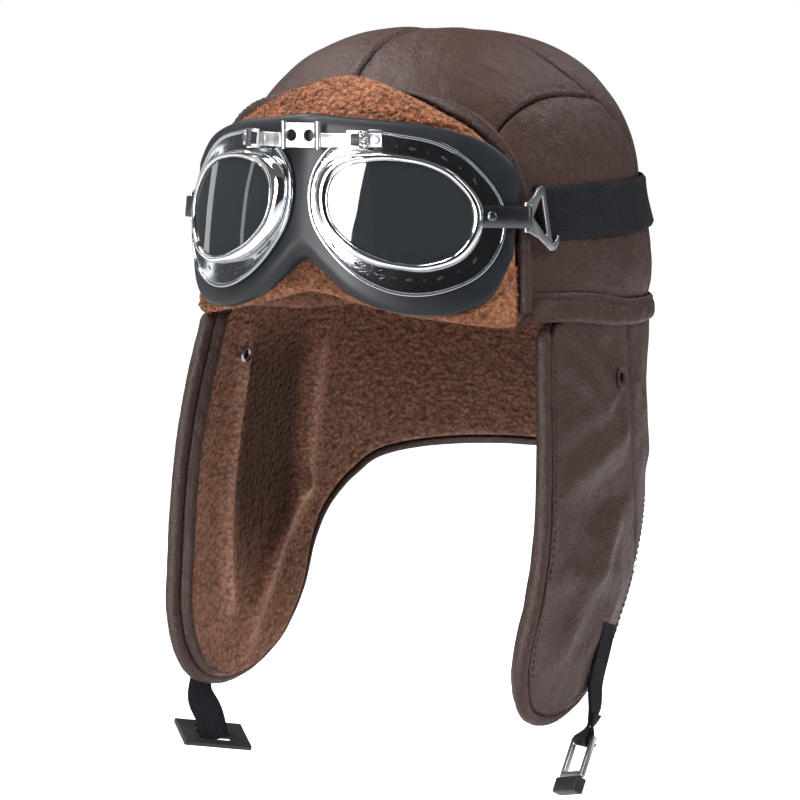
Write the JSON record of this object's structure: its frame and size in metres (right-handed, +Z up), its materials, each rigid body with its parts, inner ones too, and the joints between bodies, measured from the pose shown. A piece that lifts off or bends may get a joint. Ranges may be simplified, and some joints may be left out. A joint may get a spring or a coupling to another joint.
{
  "type": "flying hat with goggles",
  "caption": "Padded leather-look flying hat with fleece-lined ear and neck flaps, a turned-up fleece visor, goggles on an elastic strap, and chin straps with buckles.",
  "frame": {"origin": "middle of the head opening, level with the lower edge of the band at the temples, where a head holds the hat", "axes": "+Z up along the height of the hat, the wearer faces -Y, the wearer's left is +X"},
  "size_m": [0.22, 0.254, 0.3661],
  "materials": {
    "leather": "fine-grained, soft sheen",
    "fleece": "curly rust-brown pile",
    "mask_rubber": "smooth satin",
    "chrome": "polished",
    "smoked_glass": "smoked, polished",
    "webbing": "woven elastic",
    "black_plastic": "satin"
  },
  "bodies": {
    "root": {"bezel_left": "chrome", "bezel_right": "chrome", "bridge_arm_left": "chrome", "bridge_arm_right": "chrome", "bridge_clamp_left": "chrome", "bridge_clamp_right": "chrome", "bridge_link": "chrome", "bridge_pin_left": "chrome", "bridge_pin_right": "chrome", "bridge_screw_left": "chrome", "bridge_screw_right": "chrome", "chin_buckle_grip": "black_plastic", "chin_buckle_left": "chrome", "chin_slider_right": "black_plastic", "chin_strap_left": "webbing", "chin_strap_right": "webbing", "crown_back": "leather", "crown_lining": "fleece", "crown_side_left": "leather", "crown_side_right": "leather", "crown_top_left": "leather", "crown_top_right": "leather", "ear_flap_left": "leather", "ear_flap_lining_left": "fleece", "ear_flap_lining_right": "fleece", "ear_flap_right": "leather", "edge_piping": "leather", "eye_plate_left": "chrome", "eye_plate_right": "chrome", "eyelet_inner_left": "chrome", "eyelet_inner_right": "chrome", "eyelet_left": "leather", "eyelet_right": "leather", "goggle_mask": "mask_rubber", "goggle_strap": "webbing", "lens_left": "smoked_glass", "lens_right": "smoked_glass", "neck_flap": "leather", "neck_flap_lining": "fleece", "rivet_left": "chrome", "rivet_right": "chrome", "side_band": "leather", "strap_hook_left": "chrome", "strap_hook_right": "chrome", "strap_tab_left": "chrome", "strap_tab_right": "chrome", "visor_backing": "leather", "visor_binding": "leather", "visor_fleece": "fleece"}
  },
  "joints": []
}
